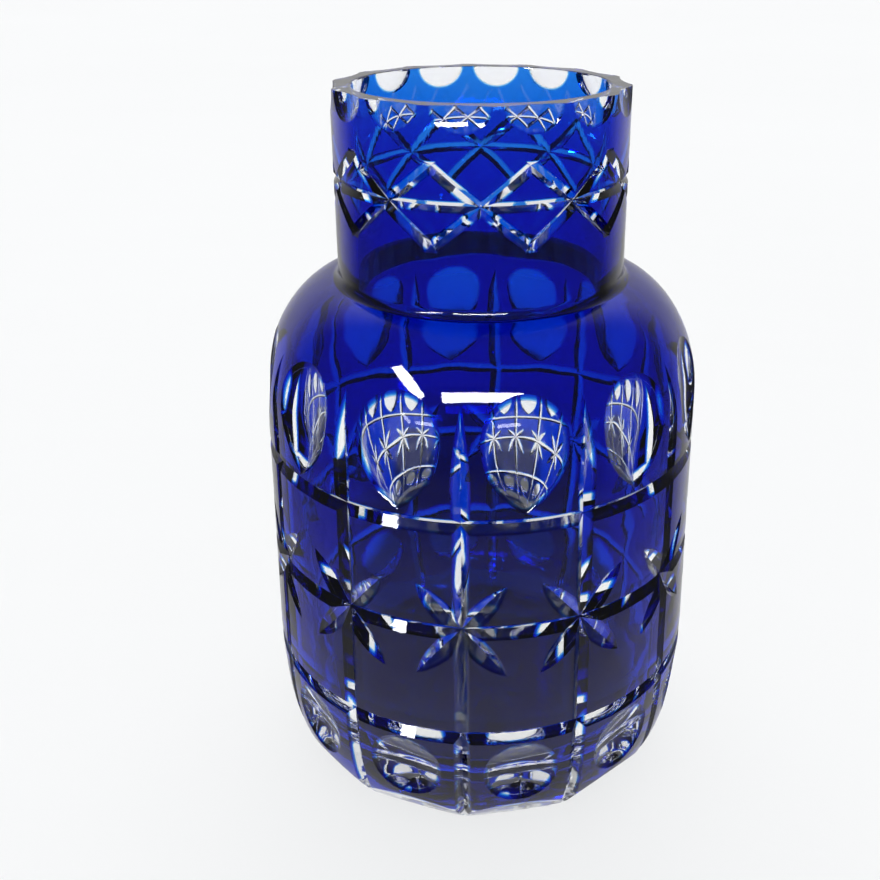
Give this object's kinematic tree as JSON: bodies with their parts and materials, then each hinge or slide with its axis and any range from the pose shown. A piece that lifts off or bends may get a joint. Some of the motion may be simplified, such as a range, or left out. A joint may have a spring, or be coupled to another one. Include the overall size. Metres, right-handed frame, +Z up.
{
  "type": "cut crystal vase",
  "caption": "Shouldered vase of clear crystal cased in cobalt blue, with mitre-cut rings, verticals and stars, oval windows, thumbprints, a zigzag neck band and a scalloped rim.",
  "frame": {"origin": "centre of the foot, where the vase stands", "axes": "+Z up along the vase's axis, towards the mouth; -Y towards the viewer in the front view"},
  "size_m": [0.1578, 0.1578, 0.25],
  "materials": {
    "clear_crystal": "polished clear lead crystal",
    "cobalt_casing": "polished cobalt-blue casing glass, cut through to clear"
  },
  "bodies": {
    "root": {"crystal_body": "clear_crystal", "neck_collar": "cobalt_casing", "shoulder_casing": "cobalt_casing", "neck_triangle_upper_01": "cobalt_casing", "neck_triangle_upper_02": "cobalt_casing", "neck_triangle_upper_03": "cobalt_casing", "neck_triangle_upper_04": "cobalt_casing", "neck_triangle_upper_05": "cobalt_casing", "neck_triangle_upper_06": "cobalt_casing", "neck_triangle_upper_07": "cobalt_casing", "neck_triangle_upper_08": "cobalt_casing", "neck_triangle_upper_09": "cobalt_casing", "neck_triangle_upper_10": "cobalt_casing", "neck_triangle_lower_01": "cobalt_casing", "neck_triangle_lower_02": "cobalt_casing", "neck_triangle_lower_03": "cobalt_casing", "neck_triangle_lower_04": "cobalt_casing", "neck_triangle_lower_05": "cobalt_casing", "neck_triangle_lower_06": "cobalt_casing", "neck_triangle_lower_07": "cobalt_casing", "neck_triangle_lower_08": "cobalt_casing", "neck_triangle_lower_09": "cobalt_casing", "neck_triangle_lower_10": "cobalt_casing", "body_panel_upper_01": "cobalt_casing", "body_panel_upper_02": "cobalt_casing", "body_panel_upper_03": "cobalt_casing", "body_panel_upper_04": "cobalt_casing", "body_panel_upper_05": "cobalt_casing", "body_panel_upper_06": "cobalt_casing", "body_panel_upper_07": "cobalt_casing", "body_panel_upper_08": "cobalt_casing", "body_panel_upper_09": "cobalt_casing", "body_panel_upper_10": "cobalt_casing", "body_panel_upper_11": "cobalt_casing", "body_panel_upper_12": "cobalt_casing", "body_panel_lower_01": "cobalt_casing", "body_panel_lower_02": "cobalt_casing", "body_panel_lower_03": "cobalt_casing", "body_panel_lower_04": "cobalt_casing", "body_panel_lower_05": "cobalt_casing", "body_panel_lower_06": "cobalt_casing", "body_panel_lower_07": "cobalt_casing", "body_panel_lower_08": "cobalt_casing", "body_panel_lower_09": "cobalt_casing", "body_panel_lower_10": "cobalt_casing", "body_panel_lower_11": "cobalt_casing", "body_panel_lower_12": "cobalt_casing", "heel_panel_01": "cobalt_casing", "heel_panel_02": "cobalt_casing", "heel_panel_03": "cobalt_casing", "heel_panel_04": "cobalt_casing", "heel_panel_05": "cobalt_casing", "heel_panel_06": "cobalt_casing", "heel_panel_07": "cobalt_casing", "heel_panel_08": "cobalt_casing", "heel_panel_09": "cobalt_casing", "heel_panel_10": "cobalt_casing", "heel_panel_11": "cobalt_casing", "heel_panel_12": "cobalt_casing"}
  },
  "joints": []
}
